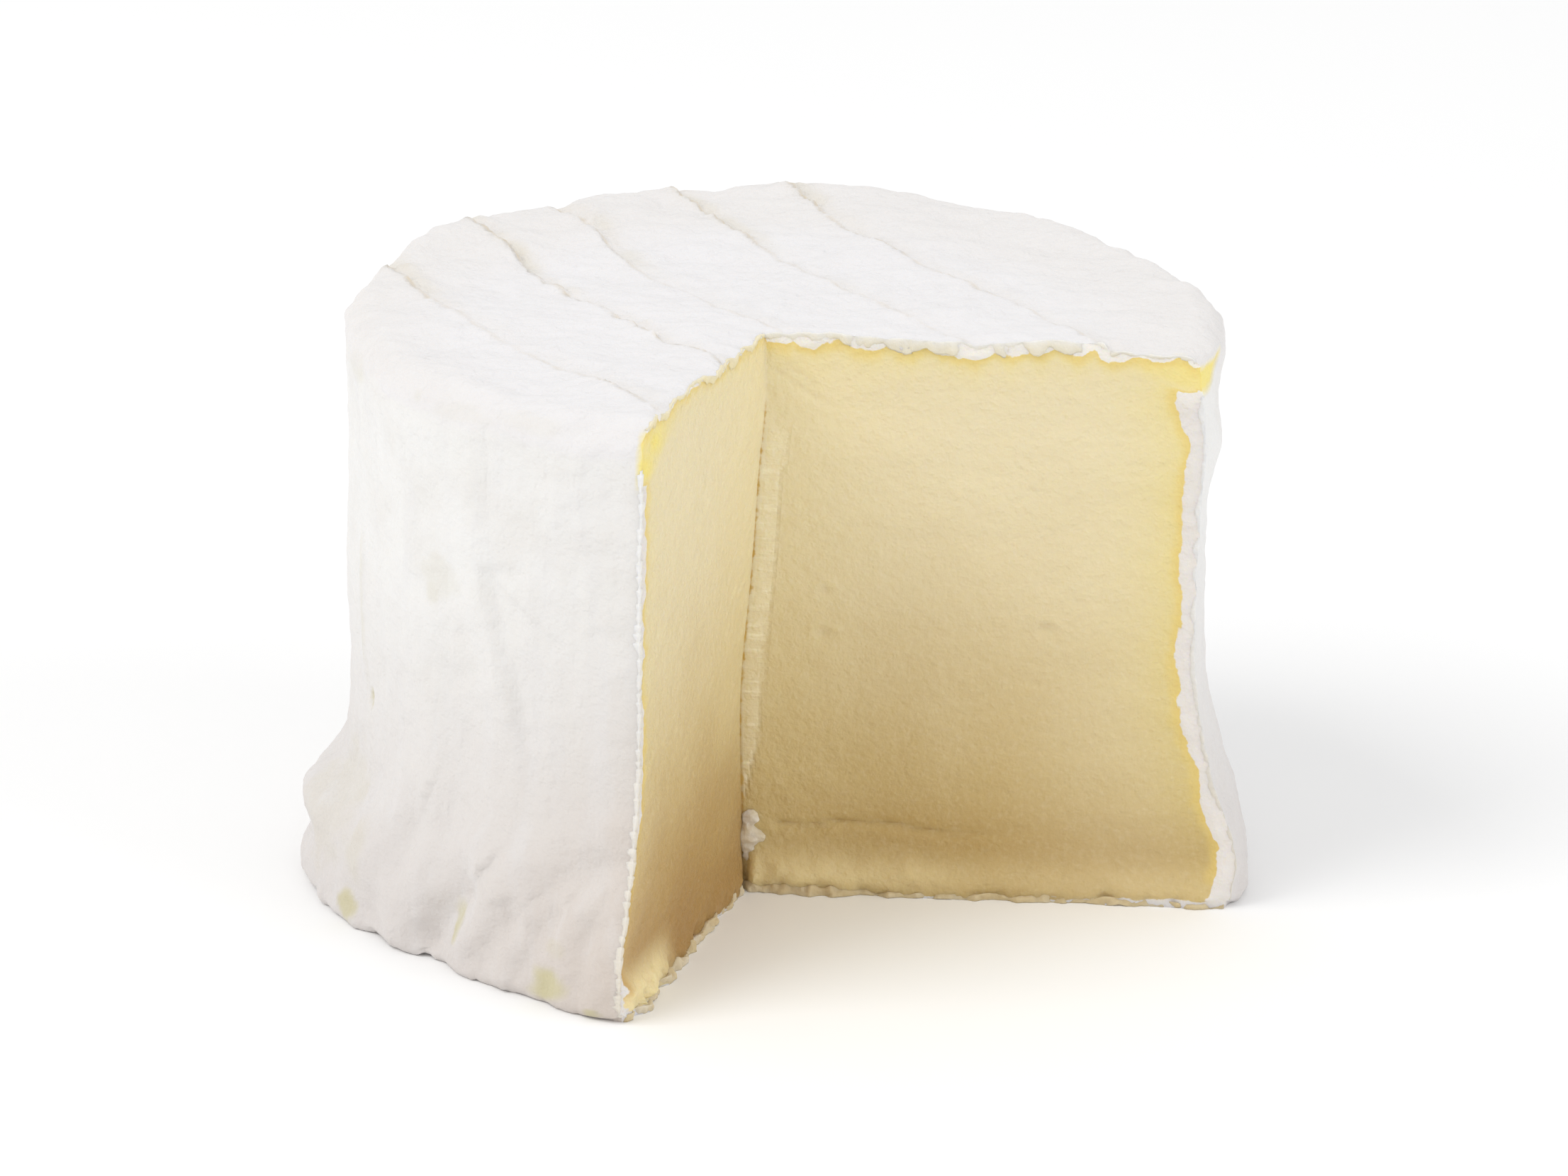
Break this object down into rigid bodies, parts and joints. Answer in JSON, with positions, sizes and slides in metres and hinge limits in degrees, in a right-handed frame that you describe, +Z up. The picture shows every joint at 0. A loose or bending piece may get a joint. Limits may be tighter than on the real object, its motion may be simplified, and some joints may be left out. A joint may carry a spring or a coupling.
{
  "type": "brillat-savarin cheese",
  "caption": "Tall round soft cheese with a bloomy white rind, a wedge cut out of it so that the pale yellow paste shows on both cut faces.",
  "frame": {"origin": "under the middle of the cut wheel's bounding box, on the plane it rests on", "axes": "+Z up; the wedge is missing between -Y, a little to the left of it, and +X"},
  "size_m": [0.0872, 0.0864, 0.0552],
  "materials": {
    "rind": "dry velvety white mould rind; the cut faces are moist pale yellow paste"
  },
  "bodies": {
    "root": {"cheese_wheel": "rind"}
  },
  "joints": []
}
